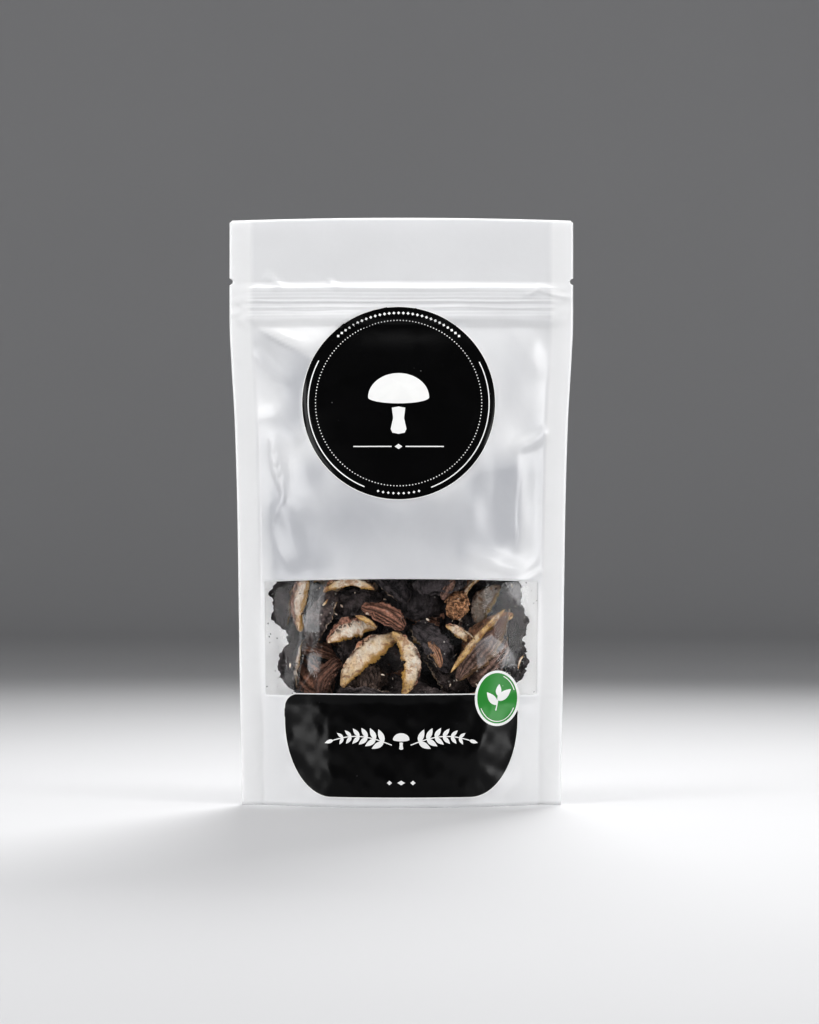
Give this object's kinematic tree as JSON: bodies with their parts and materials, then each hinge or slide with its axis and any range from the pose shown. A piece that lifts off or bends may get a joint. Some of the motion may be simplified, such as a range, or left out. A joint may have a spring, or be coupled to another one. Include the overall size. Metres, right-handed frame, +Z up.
{
  "type": "stand-up pouch of dried sliced shiitake mushroom",
  "caption": "Stand-up press-to-close pouch with a clear front window, blank black labels and a folded bottom, holding loose curved slices of dried shiitake mushroom.",
  "frame": {"origin": "middle of the pouch at its foot, on the surface that it stands on", "axes": "+Z up, -Y out of the front with the window and the labels, +X across to the right seen from the front"},
  "size_m": [0.13, 0.0405, 0.222],
  "materials": {
    "film_white": "semi-gloss white laminate film with soft creases",
    "film_clear": "clear glossy film",
    "zip_plastic": "milky polyethylene strip",
    "label_black": "glossy black sticker with a thin white edge",
    "seal_green": "glossy green sticker with a white rim",
    "shiitake_skin": "wrinkled dark dried cap skin",
    "shiitake_brown": "striated brown dried gills and stem",
    "shiitake_flesh": "matt cream dried flesh with a dark skin edge"
  },
  "bodies": {
    "root": {"back_panel": "film_white", "bottom_gusset": "film_white", "front_panel": "film_white", "lower_label": "label_black", "round_label": "label_black", "shiitake_slice_01": "shiitake_flesh", "shiitake_slice_02": "shiitake_flesh", "shiitake_slice_03": "shiitake_flesh", "shiitake_slice_04": "shiitake_brown", "shiitake_slice_05": "shiitake_flesh", "shiitake_slice_06": "shiitake_flesh", "shiitake_slice_07": "shiitake_flesh", "shiitake_slice_08": "shiitake_brown", "shiitake_slice_09": "shiitake_flesh", "shiitake_slice_10": "shiitake_skin", "shiitake_slice_11": "shiitake_skin", "shiitake_slice_12": "shiitake_skin", "shiitake_slice_13": "shiitake_skin", "shiitake_slice_14": "shiitake_brown", "shiitake_slice_15": "shiitake_skin", "shiitake_slice_16": "shiitake_brown", "shiitake_slice_17": "shiitake_brown", "shiitake_slice_18": "shiitake_skin", "shiitake_slice_19": "shiitake_skin", "shiitake_slice_20": "shiitake_skin", "shiitake_slice_21": "shiitake_skin", "shiitake_slice_22": "shiitake_brown", "shiitake_slice_23": "shiitake_skin", "shiitake_slice_24": "shiitake_flesh", "shiitake_slice_25": "shiitake_skin", "shiitake_slice_26": "shiitake_flesh", "shiitake_slice_27": "shiitake_skin", "shiitake_slice_28": "shiitake_skin", "shiitake_slice_29": "shiitake_flesh", "shiitake_slice_30": "shiitake_skin", "shiitake_slice_31": "shiitake_skin", "shiitake_slice_32": "shiitake_flesh", "shiitake_slice_33": "shiitake_brown", "shiitake_slice_34": "shiitake_skin", "shiitake_slice_35": "shiitake_brown", "shiitake_slice_36": "shiitake_brown", "shiitake_slice_37": "shiitake_skin", "shiitake_slice_38": "shiitake_flesh", "shiitake_slice_39": "shiitake_skin", "shiitake_slice_40": "shiitake_brown", "shiitake_slice_41": "shiitake_skin", "shiitake_slice_42": "shiitake_skin", "shiitake_slice_43": "shiitake_skin", "shiitake_slice_44": "shiitake_skin", "shiitake_slice_45": "shiitake_skin", "shiitake_slice_46": "shiitake_skin", "shiitake_slice_47": "shiitake_skin", "shiitake_slice_48": "shiitake_brown", "shiitake_slice_49": "shiitake_flesh", "shiitake_slice_50": "shiitake_skin", "shiitake_slice_51": "shiitake_flesh", "small_seal": "seal_green", "window_film": "film_clear", "zip_track_back": "zip_plastic", "zip_track_front": "zip_plastic"}
  },
  "joints": []
}
